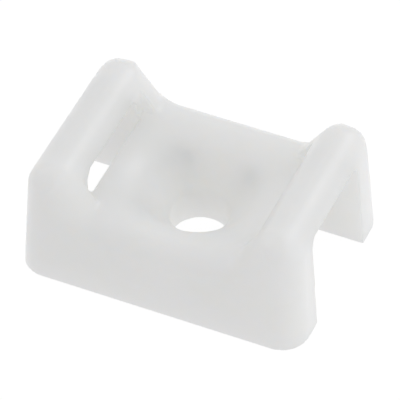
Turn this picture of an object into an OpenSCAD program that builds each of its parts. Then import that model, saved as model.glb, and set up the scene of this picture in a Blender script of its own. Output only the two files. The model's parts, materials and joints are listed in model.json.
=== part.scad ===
// Screw-fixed cable tie mount, moulded in one piece of nylon.
// +X runs along the mount, from ridge to ridge, the way the tie passes through.
// +Y runs across it, the way the bundle of cables lies in the cradle.
// Z = 0 is the foot, which lies on the panel, and the origin is the middle of the foot.

/* [Body] */
// Length of the foot, over both ends
length = 21.8; // [20:0.1:30]
// Thickness of the front and back legs at the foot
leg_t = 3.6; // [2.8:0.1:5]
// Height of the ridges above the panel
height = 9.25; // [8.8:0.05:11]
// Draft of the outer walls, in degrees from upright
draft = 3.2; // [1:0.1:5]
// Rounding of the four upright corners, measured at the foot
corner_r = 2; // [1.4:0.1:2.6]
// Rounding of the front and back top edges
edge_r = 1.9; // [0.8:0.05:2.2]

/* [Cradle] */
// Height of the saddle between the ridges
saddle_h = 6.05; // [5.6:0.05:6.4]
// Width of a ridge at its top, before its edges are rounded
ridge_w = 2.75; // [2.4:0.05:3.6]
// Angle of the slopes inside the cradle, in degrees from level
slope = 55.7; // [50:0.1:62]
// Rounding of a ridge on its inner edge
crest_in_r = 0.9; // [0.4:0.05:1]
// Rounding of a ridge on its outer edge
crest_out_r = 2.1; // [1:0.05:2.2]

/* [Tie passage] */
// Width of the pocket under each ridge, which the tie passes through
tie_w = 8.3; // [6.5:0.1:9]
// Clear height of the tie slot, from the saddle to the underside of a ridge
slot_h = 1.75; // [1.4:0.05:1.9]
// Rounding of the pocket's two upper corners
pocket_r = 0.8; // [0.3:0.05:1.2]
// Draft of the pocket's side walls, in degrees from upright
pocket_draft = 0.9; // [0.3:0.1:1.5]
// Step at the shut-off, from the end of the floor plate to the inner face of a ridge
shut_off = 0.25; // [0.1:0.05:0.4]
// How much further the relief over the floor plate is cut into each leg
relief_side = 0.75; // [0.3:0.05:1]

/* [Screw seat] */
// Diameter of the screw hole
bore_d = 4.3; // [3.5:0.1:5]
// Diameter of the countersink where its cone meets the level of the saddle
sink_d = 10.1; // [9:0.1:10.6]
// Angle of the countersink's cone, in degrees from level
sink_angle = 49; // [40:1:50]
// Rounding of the countersink's rim
sink_r = 1.2; // [0.4:0.1:1.6]

/* [Underside] */
// Thickness of the floor plate
floor_t = 1.8; // [1.2:0.1:2.4]
// How far the round boss under the screw seat runs into each leg
boss_lap = 0.4; // [0.2:0.1:0.8]

/* [Hidden] */

width = tie_w + 2 * leg_t;
rib_z = saddle_h + slot_h;                                   // underside of a ridge, over the pocket
crest_x = length / 2 - height * tan(draft) - ridge_w;        // inner top edge of a ridge, unrounded
relief_x = crest_x - (height - rib_z) / tan(slope);          // inner face of a ridge, over the slot
floor_x = relief_x - shut_off;                               // end of the floor plate
boss_d = tie_w + 2 * boss_lap;
cone_z = saddle_h - (sink_d - bore_d) / 2 * tan(sink_angle); // where the screw hole opens into the cone

over = 1;         // how far cutters and blanks run past the faces that they cut or are cut by
edge_lap = 0.01;  // how far the roundings stand off the faces beside them, to cut them cleanly
round_fn = 96;    // segments of a full circle
blank_h = height + over;

// ---- Rounded edges ----

// Everything below z = 0 and inside a wall that leans outwards, downwards, by an angle from upright.
// The edge between them, which would run along X through the origin, is rounded with radius r.
// Under the rounding the wall is left open, because the blank or a slope gives it.
module edge_slab(lean, r) {
    far = length + width;
    inset = r - edge_lap;
    centre_y = inset * (tan(lean) - 1 / cos(lean));
    rotate([90, 0, 90])
        linear_extrude(2 * far, center = true)
            union() {
                translate([-far, -far]) square([far + centre_y, far + edge_lap]);
                translate([-far, -far]) square([2 * far, far - inset + r * sin(lean)]);
                translate([centre_y, -inset]) circle(r, $fn = round_fn);
            }
}

// Rounds the front and back edges of a level top at height z.
module level_edges(z) {
    intersection_for (side = [0, 1])
        mirror([0, side, 0])
            translate([0, width / 2 - z * tan(draft), z])
                edge_slab(draft, edge_r);
}

// Rounds the front and back edges of the right-hand slope, which converge upwards with the draft.
module slope_edges() {
    turn = atan(sin(slope) * tan(draft));
    lean = asin(cos(slope) * sin(draft));
    intersection_for (side = [0, 1])
        mirror([0, side, 0])
            translate([crest_x, width / 2 - height * tan(draft), height])
                rotate([0, -slope, 0])
                    rotate([0, 0, -turn])
                        edge_slab(lean, edge_r);
}

// Everything under the right-hand slope.
module slope_block() {
    far = length + width;
    translate([crest_x, 0, height])
        rotate([0, -slope, 0])
            translate([-far, -far, -2 * far]) cube(2 * far);
}

module ridge() {
    intersection() {
        translate([0, -width, 0]) cube([length, 2 * width, height]);
        slope_block();
        slope_edges();
        level_edges(height);
        translate([crest_x, 0, height]) rotate(90) edge_slab(90 - slope, crest_in_r);
        translate([length / 2 - height * tan(draft), 0, height]) rotate(-90) edge_slab(draft, crest_out_r);
    }
}

module saddle() {
    intersection() {
        translate([-length, -width, 0]) cube([2 * length, 2 * width, saddle_h]);
        level_edges(saddle_h);
    }
}

// ---- Blank: the drafted block with rounded upright corners ----

// Block with two drafted walls, long at the foot, that stand across X.
module drafted_bar(long) {
    top = long / 2 - blank_h * tan(draft);
    rotate([90, 0, 0])
        linear_extrude(2 * length, center = true)
            polygon([[-long / 2, 0], [long / 2, 0], [top, blank_h], [-top, blank_h]]);
}

// Rounds one upright corner, whose edge leans inwards both ways with the draft.
module corner_edge() {
    translate([length / 2, width / 2, 0])
        rotate([0, 90 - draft, 0])
            rotate([0, 0, atan(sin(draft))])
                edge_slab(asin(pow(sin(draft), 2)), corner_r);
}

module blank() {
    intersection() {
        drafted_bar(length);
        rotate(90) drafted_bar(width);
        corner_edge();
        mirror([1, 0, 0]) corner_edge();
        mirror([0, 1, 0]) corner_edge();
        rotate(180) corner_edge();
    }
}

// ---- Cutters ----

// Outline of a pocket, seen from the end: narrower at the top, with two rounded corners.
module pocket_outline() {
    half = tie_w / 2;
    lean = tan(pocket_draft);
    corner_z = rib_z - pocket_r;
    corner_y = half - rib_z * lean - pocket_r;
    union() {
        polygon([[-half - over * lean, -over], [half + over * lean, -over],
                 [half - corner_z * lean, corner_z], [-half + corner_z * lean, corner_z]]);
        translate([-corner_y, 0]) square([2 * corner_y, rib_z]);
        for (s = [-1, 1]) translate([s * corner_y, corner_z]) circle(pocket_r, $fn = round_fn);
    }
}

// Pocket under the ridge on one side, open to the end and to the panel.
module pocket(side) {
    translate([side > 0 ? floor_x : -floor_x - length, 0, 0])
        rotate([90, 0, 90])
            linear_extrude(length) pocket_outline();
}

// Hollow under the floor plate, in line with the pockets, round the boss.
module undercut() {
    difference() {
        intersection() {
            rotate([90, 0, 90]) linear_extrude(2 * floor_x + over, center = true) pocket_outline();
            translate([-length, -width, -height]) cube([2 * length, 2 * width, height + saddle_h - floor_t]);
        }
        translate([0, 0, -2 * over]) cylinder(h = height, d = boss_d, $fn = round_fn);
    }
}

// Relief above the floor plate, which opens the tie slots into the cradle.
module relief() {
    wide = tie_w + 2 * relief_side;
    translate([-relief_x, -wide / 2, saddle_h]) cube([2 * relief_x, wide, height]);
}

// Screw hole with its countersink and rounded rim.
module screw_seat() {
    bend = sink_r * tan(sink_angle / 2);
    rim_x = sink_d / 2 + bend;
    translate([0, 0, -over]) cylinder(h = height, d = bore_d, $fn = round_fn);
    rotate_extrude($fn = round_fn)
        difference() {
            polygon([[0, cone_z], [bore_d / 2, cone_z],
                     [sink_d / 2 - bend * cos(sink_angle), saddle_h - bend * sin(sink_angle)],
                     [rim_x, saddle_h], [rim_x, saddle_h + over], [0, saddle_h + over]]);
            translate([rim_x, saddle_h - sink_r]) circle(sink_r, $fn = round_fn);
        }
}

module mount_body() {
    color("#e9ebe8")
        difference() {
            intersection() {
                blank();
                union() {
                    saddle();
                    ridge();
                    mirror([1, 0, 0]) ridge();
                }
            }
            pocket(1);
            pocket(-1);
            relief();
            undercut();
            screw_seat();
        }
}

mount_body();
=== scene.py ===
"""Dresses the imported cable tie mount: one soft-edged nylon moulding, its floor, lights and camera.

Lengths are in millimetres where a name ends in _mm or a comment says so, and in metres otherwise.
"""

import json
from types import SimpleNamespace

import bpy
import numpy as np
from mathutils import Matrix, Vector


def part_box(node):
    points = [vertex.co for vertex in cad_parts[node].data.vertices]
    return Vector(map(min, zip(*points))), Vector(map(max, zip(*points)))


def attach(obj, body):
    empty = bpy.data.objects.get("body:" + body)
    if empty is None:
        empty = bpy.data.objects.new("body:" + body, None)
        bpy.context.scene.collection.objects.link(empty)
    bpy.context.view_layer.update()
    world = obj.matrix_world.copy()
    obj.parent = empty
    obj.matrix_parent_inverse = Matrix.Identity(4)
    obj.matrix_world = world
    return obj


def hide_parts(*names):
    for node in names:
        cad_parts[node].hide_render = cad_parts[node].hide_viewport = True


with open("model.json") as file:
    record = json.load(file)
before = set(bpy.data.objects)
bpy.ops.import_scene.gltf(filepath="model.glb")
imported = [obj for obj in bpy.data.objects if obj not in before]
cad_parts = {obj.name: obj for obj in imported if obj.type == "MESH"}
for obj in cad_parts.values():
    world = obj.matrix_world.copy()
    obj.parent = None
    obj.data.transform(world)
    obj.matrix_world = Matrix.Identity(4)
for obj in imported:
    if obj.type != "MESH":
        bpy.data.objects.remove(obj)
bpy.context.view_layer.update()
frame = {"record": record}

bl_info = {
    "name": "Cable Tie Mount",
    "version": (1, 0, 0),
    "blender": (4, 5, 0),
    "location": "View3D > Sidebar > Tie Mount",
    "description": "Builds a screw-on saddle mount for cable ties, moulded in natural nylon",
    "category": "Add Mesh",
}

MM = 0.001
LOW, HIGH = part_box("mount_body")
MOUNTS = {mount["name"]: mount for mount in frame["record"]["mounts"]}
BORE = MOUNTS["screw_hole"]["dims"]

# Softboxes: name, azimuth from +X and height above the table in degrees, diameter in metres, watts.
LAMPS = (
    ("back_softbox", 57, 40, 0.17, 0.105),
    ("left_softbox", 180, 45, 0.26, 0.06),
)
LAMP_DISTANCE = 0.4

# The white room's strength all round, and what each lit wall adds where it is met head on.
ROOM = 0.515
WALLS = (("X", 1, 0.33), ("X", -1, 0.15), ("Y", 1, 0.10), ("Z", 1, 0.10), ("Z", -1, 0.12))

# The camera: lens and sensor in millimetres, roll in degrees, and its place in metres, as the distance
# back from the origin and the shifts along its own up and right.
LENS, SENSOR, ROLL = 359.82, 36, -1.40
BACK, UP, RIGHT = 0.2862, 0.002783, -0.000002

# Rounds that even out the mesh, and the angle in degrees above which an edge is shaded sharp.
SETTLE_ROUNDS, CREASE = 3, 22

FLOOR_HALF = 0.6
FLOOR_DROP = 0.00002


# ---- Sizes and colours that a user would change ----


def millimetres(name, description, value, low, high):
    """A length property, shown in the scene's own unit and written here in millimetres."""
    return bpy.props.FloatProperty(
        name=name, description=description, default=value * MM, min=low * MM, max=high * MM,
        unit="LENGTH", precision=5,
    )


def degrees(name, description, value, low, high):
    """An angle property, written here in degrees."""
    return bpy.props.FloatProperty(
        name=name, description=description, default=np.radians(value), min=np.radians(low),
        max=np.radians(high), subtype="ANGLE",
    )


class MountSizes(bpy.types.PropertyGroup):
    draft: degrees("Draft", "Lean of the outer walls off upright", 3.2, 1, 5)
    edge: millimetres("Edges", "Radius of the top edges and the upright corners", 2.0, 1.4, 2.2)
    fullness: bpy.props.FloatProperty(
        name="Corner fullness", description="From a ball corner at 0 to creased edges at 1",
        default=0.55, min=0, max=1, subtype="FACTOR",
    )
    foot: millimetres("Foot edge", "Radius of the edge that stands on the panel", 0.05, 0.02, 0.3)
    saddle: millimetres("Saddle", "Height of the saddle between the ridges", 6.05, 5.6, 6.4)
    ridge: millimetres("Ridge width", "Width of a ridge along its top", 2.75, 2.4, 3.6)
    slope: degrees("Slope", "Lean of a ridge's inner face off level", 55.7, 50, 62)
    crest: millimetres("Crest", "Radius of a ridge's inner top edge", 0.75, 0.4, 1.0)
    valley: millimetres("Valley", "Fillet where a slope meets the saddle", 0.3, 0.1, 1.5)
    tie: millimetres("Tie way", "Width of the way for the tie", 8.3, 6.5, 9.0)
    relief: millimetres("Relief", "How far the relief runs past the tie way", 0.75, 0.2, 1.2)
    slot: millimetres("Slot", "Height of a tie slot over the saddle", 1.75, 1.4, 1.9)
    floor: millimetres("Floor plate", "Thickness of the saddle's floor plate", 1.8, 1.2, 2.4)
    sink: millimetres("Countersink", "Diameter of the countersink at the saddle", 10.1, 9.0, 10.6)
    sink_angle: degrees("Cone angle", "Lean of the countersink off level", 49, 40, 50)
    rim: millimetres("Rim", "Radius that rolls the countersink into the saddle", 1.2, 0.3, 2.0)
    break_edge: millimetres("Small edges", "Radius of the edges that a tool parts", 0.15, 0.05, 0.4)
    shut_off: millimetres("Shut-off", "Step from the floor plate's end to a ridge", 0.25, 0.1, 0.4)
    inner_edge: millimetres("Inner edges", "Radius at the cone's foot and in the undercut", 0.3, 0.1, 0.6)
    seam: millimetres("Seam", "Fillet where the pockets meet the undercut", 0.1, 0.05, 0.3)
    pocket_draft: degrees("Pocket draft", "Lean of the tie pockets' side walls", 0.9, 0.3, 1.5)
    pocket_corner: millimetres("Pocket corners", "Radius of a pocket's upper corners", 0.8, 0.3, 1.2)
    boss_lap: millimetres("Boss lap", "How far the boss runs into each leg", 0.4, 0.2, 0.8)
    foot_fade: millimetres("Foot fade", "Height over which a pocket's edges grow", 1.5, 0.5, 3.0)
    cell: millimetres("Mesh cell", "Spacing of the mesh on the moulding", 0.135, 0.12, 0.5)


class MountFinish(bpy.types.PropertyGroup):
    tint: bpy.props.StringProperty(
        name="Nylon", description="sRGB hex colour of the natural nylon", default="#f8f8f6"
    )
    floor: bpy.props.StringProperty(
        name="Floor", description="sRGB hex colour of the floor and backdrop", default="#ffffff"
    )
    azimuth: degrees("Camera azimuth", "Turn of the camera from straight in front", 25.14, -180, 180)
    elevation: degrees("Camera height", "Camera's angle above the floor", 45.51, 0, 90)


# ---- Numpy fields that the moulding is made of ----


def round_and(a, b, radius):
    """Where two fields are both negative, with a rolled outer edge.

    max(a, b) away from the edge; inside it, the distance to a circle of that radius that touches
    both faces: min(max(a, b), -r) + |(max(a + r, 0), max(b + r, 0))|.
    """
    inside = np.minimum(np.maximum(a, b), -radius)
    return inside + np.hypot(np.maximum(a + radius, 0), np.maximum(b + radius, 0))


def corner_and(a, b, c, radius, fullness):
    """Where three fields are all negative, with rolled edges that meet in a corner.

    The distance past the edges' axes is |(a, b, c)| with each plus r and no less than 0. A share of the
    least of the three is taken off it first: none makes a ball corner, and all of it makes three plain
    rolled edges that meet in creases. The least is a soft one, so the creases are soft too.
    """
    reach = [np.maximum(face + radius, 0) + 1e-9 for face in (a, b, c)]
    least = sum(part ** -4.0 for part in reach) ** -0.25
    inside = np.minimum(np.maximum(np.maximum(a, b), c), -radius)
    return inside + np.sqrt(sum(part ** 2 for part in reach) - fullness * least ** 2)


def round_or(a, b, radius):
    """Where either field is negative, with a fillet in the inner corner: round_and turned inside out."""
    return -round_and(-a, -b, radius)


def moulding(x, y, z, s):
    """Signed field of the mount in millimetres, negative inside, for whole arrays of points."""
    x, y = np.abs(x), np.abs(y)
    radial = np.hypot(x, y)
    lean = np.tan(s.draft)
    end = (x - (s.length / 2 - z * lean)) * np.cos(s.draft)
    side = (y - (s.width / 2 - z * lean)) * np.cos(s.draft)

    bore = radial - s.bore
    cone = (radial - s.sink / 2 + (s.saddle - z) / np.tan(s.sink_angle)) * np.sin(s.sink_angle)
    funnel = round_or(bore, cone, s.inner_edge)
    plate = round_and(z - s.saddle, -funnel, s.rim)

    crest_x = s.length / 2 - s.height * lean - s.ridge
    rib_z = s.saddle + s.slot
    relief_x = crest_x - (s.height - rib_z) / np.tan(s.slope)
    inner = (crest_x - x) * np.sin(s.slope) + (z - s.height) * np.cos(s.slope)
    ridge = round_and(z - s.height, inner, s.crest)
    relief = round_and(x - relief_x, y - (s.tie / 2 + s.relief), s.break_edge)
    ridge = round_and(ridge, -relief, s.break_edge)
    top = round_or(plate, ridge, s.valley)
    solid = corner_and(end, side, top, s.edge, s.fullness)
    solid = round_and(solid, -z, s.foot)

    floor_x = relief_x - s.shut_off
    pocket_y = (y - s.tie / 2 + z * np.tan(s.pocket_draft)) * np.cos(s.pocket_draft)
    tunnel = round_and(pocket_y, z - rib_z, s.pocket_corner)
    pocket = round_and(tunnel, floor_x - x, s.break_edge)
    under = round_and(tunnel, z - (s.saddle - s.floor), s.inner_edge)
    under = round_and(under, s.tie / 2 + s.boss_lap - radial, s.inner_edge)
    hollow = round_or(pocket, under, s.seam)
    edge = s.foot + (s.break_edge - s.foot) * np.clip(z / s.foot_fade, 0, 1)
    return round_and(solid, -hollow, edge)


def gradient(field, points, step=1e-3):
    """Central differences of a field along X, Y and Z at each point."""
    shifts = step * np.eye(3)
    return np.stack([field(*(points + d).T) - field(*(points - d).T) for d in shifts], 1) / (2 * step)


def surface_net(field, low, high, cell):
    """Vertices, four-sided faces and flatness of a field's zero surface, by dual contouring on a grid.

    Each grid edge that the surface crosses gives the crossing point p, the unit normal n there, and one
    face between the four cells round the edge. Each cell's vertex x makes the sum of (n . (x - p))^2
    over its crossings least, held lightly to their mean, so that it sits on an edge or corner of the
    surface where there is one. Flatness is the length of a cell's mean normal: 1 where all agree.
    """
    counts = np.ceil((high - low) / cell).astype(int) + 1
    axes = [low[a] + cell * np.arange(counts[a]) for a in range(3)]
    value = field(*np.meshgrid(*axes, indexing="ij"))
    inside = value < 0
    cells = counts - 1
    owners, crossings, faces = [], [], []
    for a in range(3):
        near = tuple(slice(None, -1) if k == a else slice(None) for k in range(3))
        far = tuple(slice(1, None) if k == a else slice(None) for k in range(3))
        cut = inside[near] != inside[far]
        where = np.argwhere(cut)
        point = low + cell * where.astype(float)
        point[:, a] += cell * value[near][cut] / (value[near][cut] - value[far][cut])
        b, c = (a + 1) % 3, (a + 2) % 3
        around = []
        for db, dc in ((-1, -1), (0, -1), (0, 0), (-1, 0)):
            cube = where.copy()
            cube[:, b] += db
            cube[:, c] += dc
            around.append(np.ravel_multi_index(cube.T, cells))
        quads = np.stack(around, 1)
        owners.append(quads)
        crossings.append(point)
        flip = ~inside[near][cut]
        quads = quads.copy()
        quads[flip] = quads[flip][:, ::-1]
        faces.append(quads)
    owners, crossings = np.concatenate(owners), np.concatenate(crossings)
    normals = gradient(field, crossings)
    normals /= np.linalg.norm(normals, axis=1, keepdims=True)

    used, number = np.unique(owners, return_inverse=True)
    number = number.reshape(owners.shape)
    owner = number.ravel()
    p = np.repeat(crossings, 4, axis=0)
    n = np.repeat(normals, 4, axis=0)
    hits = np.bincount(owner).astype(float)

    def gathered(values):
        return np.stack([np.bincount(owner, column) for column in values.reshape(len(owner), -1).T], 1)

    mean = gathered(p) / hits[:, None]
    hold, slack = 0.02, 0.1
    matrix = gathered(n[:, :, None] * n[:, None, :]).reshape(-1, 3, 3) + hold * np.eye(3)
    offset = (n * (p - mean[owner])).sum(1, keepdims=True)
    shift = np.linalg.solve(matrix, gathered(n * offset)[:, :, None])[:, :, 0]
    corner = low + cell * np.stack(np.unravel_index(used, cells), 1)
    points = np.clip(mean + shift, corner - slack * cell, corner + (1 + slack) * cell)
    flatness = np.linalg.norm(gathered(n), axis=1) / hits
    return points, np.searchsorted(used, np.concatenate(faces)), flatness


def settle(points, faces, flatness, field, cell, rounds):
    """Evens the mesh out along the surface, away from edges, and puts each vertex back on it.

    Each round moves a vertex towards the mean of its neighbours, less the part of that move that leaves
    the surface, by a share that falls to none where the surface bends sharply, and then takes one
    Newton step down the field's gradient towards zero.
    """
    flat, pull, longest, tiny = 0.97, 0.6, 0.3, 1e-9
    pairs = np.concatenate([faces[:, [k, (k + 1) % 4]] for k in range(4)])
    degree = np.bincount(pairs[:, 0], minlength=len(points))[:, None]
    share = pull * np.clip((flatness - flat) / 0.02, 0, 1)[:, None]
    for _ in range(rounds):
        mean = np.stack([np.bincount(pairs[:, 0], points[pairs[:, 1], a], len(points))
                         for a in range(3)], 1) / degree
        slope = gradient(field, points)
        steep = (slope ** 2).sum(1, keepdims=True) + tiny
        move = mean - points
        points = points + share * (move - (move * slope).sum(1, keepdims=True) * slope / steep)
        slope = gradient(field, points)
        steep = (slope ** 2).sum(1) + tiny
        jump = np.clip(field(*points.T) / steep, -longest * cell, longest * cell)
        points = points - np.where(flatness > flat, jump, 0)[:, None] * slope
    return points


# ---- Materials ----


def linear(colour):
    """Linear RGB and alpha from an sRGB hex colour."""
    value = np.array([int(colour[i:i + 2], 16) for i in (1, 3, 5)]) / 255
    value = np.where(value <= 0.04045, value / 12.92, ((value + 0.055) / 1.055) ** 2.4)
    return (*map(float, value), 1.0)


def add_node(tree, kind, links=(), **settings):
    """Adds a node, sets its sockets and properties by name, and links sockets into it."""
    node = tree.nodes.new(kind)
    for name, value in settings.items():
        if name in node.inputs:
            node.inputs[name].default_value = value
        else:
            setattr(node, name, value)
    for socket, name in links:
        tree.links.new(socket, node.inputs[name])
    return node


def new_material(name):
    material = bpy.data.materials.new(name)
    material.use_nodes = True
    material.node_tree.nodes.clear()
    return material, material.node_tree


def moulded_nylon(tint):
    """Natural polyamide 6/6 straight from the tool: milky, with light that travels millimetres inside."""
    material, tree = new_material("moulded_natural_nylon")
    place = add_node(tree, "ShaderNodeTexCoord")

    # Crystals that grew unevenly as the melt cooled: clouds about 3 mm across, just under seeing, which
    # keep the broad faces from one dead white.
    cloud = add_node(tree, "ShaderNodeTexNoise", Scale=1 / (3.0 * MM), Detail=2.0, Roughness=0.5,
                     links=[(place.outputs["Object"], "Vector")])
    milk = add_node(tree, "ShaderNodeValToRGB", links=[(cloud.outputs["Fac"], "Fac")])
    clear = np.array(linear(tint)) * (0.985, 0.983, 0.972, 1)
    milk.color_ramp.elements[0].color, milk.color_ramp.elements[0].position = clear, 0.35
    milk.color_ramp.elements[1].color, milk.color_ramp.elements[1].position = linear(tint), 0.65

    # The tool steel's spark-eroded grain, about 0.12 mm across and under 2 microns deep: it breaks the
    # sheen of the ridges into a fine satin.
    grain = add_node(tree, "ShaderNodeTexNoise", Scale=1 / (0.12 * MM), Detail=3.0, Roughness=0.6,
                     links=[(place.outputs["Object"], "Vector")])
    bump = add_node(tree, "ShaderNodeBump", Strength=0.6, Distance=0.0016 * MM,
                    links=[(grain.outputs["Fac"], "Height")])

    # Where the melt packed less tightly against the steel it came out duller: patches about 2 mm across.
    packing = add_node(tree, "ShaderNodeTexNoise", Scale=1 / (2.0 * MM), Detail=1.0, Roughness=0.5,
                       links=[(place.outputs["Object"], "Vector")])
    dull = add_node(tree, "ShaderNodeMapRange", **{"To Min": 0.28, "To Max": 0.34},
                    links=[(packing.outputs["Fac"], "Value")])

    shader = add_node(tree, "ShaderNodeBsdfPrincipled", **{
        "IOR": 1.53, "Subsurface Weight": 1.0, "Subsurface Scale": 6.0 * MM,
        "Subsurface Radius": (1.1, 1.0, 0.9),
    }, links=[(milk.outputs["Color"], "Base Color"), (dull.outputs["Result"], "Roughness"),
              (bump.outputs["Normal"], "Normal")])
    add_node(tree, "ShaderNodeOutputMaterial", links=[(shader.outputs["BSDF"], "Surface")])
    return material


def opal_light_table(colour):
    """Opal acrylic sheet lit evenly from all sides: white to the eye, with the object's own soft shadow.

    Lamplight passes it, as it passes a lit opal sheet, so the foot of the moulding isn't darkened.
    """
    material, tree = new_material("lit_opal_acrylic")
    glow = add_node(tree, "ShaderNodeEmission", Color=linear(colour), Strength=0.92)
    sheet = add_node(tree, "ShaderNodeBsdfDiffuse", Color=linear("#666666"))
    seen = add_node(tree, "ShaderNodeAddShader", links=[(glow.outputs[0], 0), (sheet.outputs[0], 1)])
    passed = add_node(tree, "ShaderNodeBsdfTransparent")
    rays = add_node(tree, "ShaderNodeLightPath")
    looked = add_node(tree, "ShaderNodeMath", operation="MAXIMUM",
                      links=[(rays.outputs["Is Camera Ray"], 0), (rays.outputs["Is Glossy Ray"], 1)])
    through = add_node(tree, "ShaderNodeMath", operation="MAXIMUM",
                       links=[(looked.outputs[0], 0), (rays.outputs["Is Transmission Ray"], 1)])
    mixed = add_node(tree, "ShaderNodeMixShader",
                     links=[(through.outputs[0], 0), (passed.outputs[0], 1), (seen.outputs[0], 2)])
    add_node(tree, "ShaderNodeOutputMaterial", links=[(mixed.outputs[0], "Surface")])
    return material


# ---- Operators ----


def in_millimetres(sizes):
    """The moulding's sizes as plain numbers: millimetres and radians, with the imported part's box and bore."""
    unscaled = ("draft", "slope", "sink_angle", "pocket_draft", "fullness")
    s = SimpleNamespace(bore=BORE["r_mm"])
    s.length, s.width, s.height = (HIGH - LOW) / MM
    for name in sizes.__annotations__:
        setattr(s, name, getattr(sizes, name) / (1 if name in unscaled else MM))
    return s


class BuildMoulding(bpy.types.Operator):
    """Make the mount as one closed moulding"""

    bl_idname = "tie_mount.build_moulding"
    bl_label = "Build moulding"

    def execute(self, context):
        sizes = context.scene.mount_sizes
        finish = context.scene.mount_finish

        s = in_millimetres(sizes)

        def field(x, y, z):
            return moulding(x, y, z, s)

        # The grid starts a little off the cells' own step, so that no flat face falls on a grid plane.
        margin, off_step = 2 * s.cell, np.array([1.03, 1.01, 1.07])
        low = np.array([-s.length / 2, -s.width / 2, 0]) - margin * off_step
        high = np.array([s.length / 2, s.width / 2, s.height]) + margin
        points, faces, flatness = surface_net(field, low, high, s.cell)
        points = settle(points, faces, flatness, field, s.cell, SETTLE_ROUNDS)
        mesh = bpy.data.meshes.new("mount_moulding")
        mesh.from_pydata((points * MM).tolist(), [], faces.tolist())
        mesh.update()
        mesh.shade_smooth()
        mesh.set_sharp_from_angle(angle=np.radians(CREASE))
        piece = bpy.data.objects.new("mount_moulding", mesh)
        context.scene.collection.objects.link(piece)
        mesh.materials.append(moulded_nylon(finish.tint))
        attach(piece, "root")
        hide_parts("mount_body")
        return {"FINISHED"}


def heading(azimuth, elevation):
    """Unit vector at an azimuth from +X and a height above level, both in radians."""
    level = np.cos(elevation)
    return Vector((np.cos(azimuth) * level, np.sin(azimuth) * level, np.sin(elevation)))


def camera_place(azimuth, elevation, roll):
    """The camera's matrix, turned by an azimuth from straight in front, then raised and rolled."""
    back = heading(azimuth - np.pi / 2, elevation)
    level = Vector((np.cos(azimuth), np.sin(azimuth), 0))
    upright = back.cross(level)
    right = level * np.cos(roll) + upright * np.sin(roll)
    up = upright * np.cos(roll) - level * np.sin(roll)
    place = Matrix((right, up, back)).transposed().to_4x4()
    place.translation = back * BACK + up * UP + right * RIGHT
    return place


def lit_room():
    """A white room whose walls are lit unevenly: ROOM + the sum of wall * max(0, direction . wall)."""
    world = bpy.data.worlds.new("studio")
    world.use_nodes = True
    tree = world.node_tree
    tree.nodes.clear()
    way = add_node(tree, "ShaderNodeTexCoord")
    axes = add_node(tree, "ShaderNodeSeparateXYZ", links=[(way.outputs["Object"], "Vector")])
    strength = add_node(tree, "ShaderNodeValue")
    strength.outputs[0].default_value = ROOM
    for axis, side, wall in WALLS:
        facing = add_node(tree, "ShaderNodeMath", operation="MULTIPLY", links=[(axes.outputs[axis], 0)])
        facing.inputs[1].default_value = side * wall
        lit = add_node(tree, "ShaderNodeMath", operation="MAXIMUM", links=[(facing.outputs[0], 0)])
        lit.inputs[1].default_value = 0
        strength = add_node(tree, "ShaderNodeMath", operation="ADD",
                            links=[(lit.outputs[0], 0), (strength.outputs[0], 1)])
    glow = add_node(tree, "ShaderNodeBackground", Color=(1, 1, 1, 1),
                    links=[(strength.outputs[0], "Strength")])
    add_node(tree, "ShaderNodeOutputWorld", links=[(glow.outputs[0], "Surface")])
    return world


class BuildStage(bpy.types.Operator):
    """Set the floor, the lamps and the camera"""

    bl_idname = "tie_mount.build_stage"
    bl_label = "Build stage"

    def execute(self, context):
        finish = context.scene.mount_finish
        scene = context.scene
        mesh = bpy.data.meshes.new("floor")
        corners = ((-1, -1), (1, -1), (1, 1), (-1, 1))
        mesh.from_pydata([(FLOOR_HALF * x, FLOOR_HALF * y, 0) for x, y in corners], [], [(0, 1, 2, 3)])
        mesh.materials.append(opal_light_table(finish.floor))
        floor = bpy.data.objects.new("floor", mesh)
        floor.location.z = -FLOOR_DROP
        scene.collection.objects.link(floor)

        scene.world = lit_room()
        for name, azimuth, elevation, size, power in LAMPS:
            lamp = bpy.data.lights.new(name, "AREA")
            lamp.shape = "DISK"
            lamp.size = size
            lamp.energy = power
            softbox = bpy.data.objects.new(name, lamp)
            softbox.location = LAMP_DISTANCE * heading(np.radians(azimuth), np.radians(elevation))
            softbox.rotation_euler = softbox.location.to_track_quat("Z", "Y").to_euler()
            softbox.visible_camera = False
            scene.collection.objects.link(softbox)

        lens = bpy.data.cameras.new("camera")
        lens.sensor_width = SENSOR
        lens.lens = LENS
        camera = bpy.data.objects.new("camera", lens)
        camera.matrix_world = camera_place(finish.azimuth, finish.elevation, np.radians(ROLL))
        scene.collection.objects.link(camera)
        scene.camera = camera
        scene.view_settings.view_transform = "Standard"
        return {"FINISHED"}


class MountPanel(bpy.types.Panel):
    """Lists the steps that build the cable tie mount"""

    bl_idname = "VIEW3D_PT_tie_mount"
    bl_label = "Cable tie mount"
    bl_space_type = "VIEW_3D"
    bl_region_type = "UI"
    bl_category = "Tie Mount"

    def draw(self, context):
        for step in STEPS:
            self.layout.operator(step.bl_idname)


STEPS = (BuildMoulding, BuildStage)
CLASSES = (MountSizes, MountFinish, *STEPS, MountPanel)


def register():
    for cls in CLASSES:
        bpy.utils.register_class(cls)
    bpy.types.Scene.mount_sizes = bpy.props.PointerProperty(type=MountSizes)
    bpy.types.Scene.mount_finish = bpy.props.PointerProperty(type=MountFinish)


def unregister():
    del bpy.types.Scene.mount_finish
    del bpy.types.Scene.mount_sizes
    for cls in reversed(CLASSES):
        bpy.utils.unregister_class(cls)


def main():
    register()
    bpy.ops.tie_mount.build_moulding()
    bpy.ops.tie_mount.build_stage()


if __name__ == "__main__":
    main()
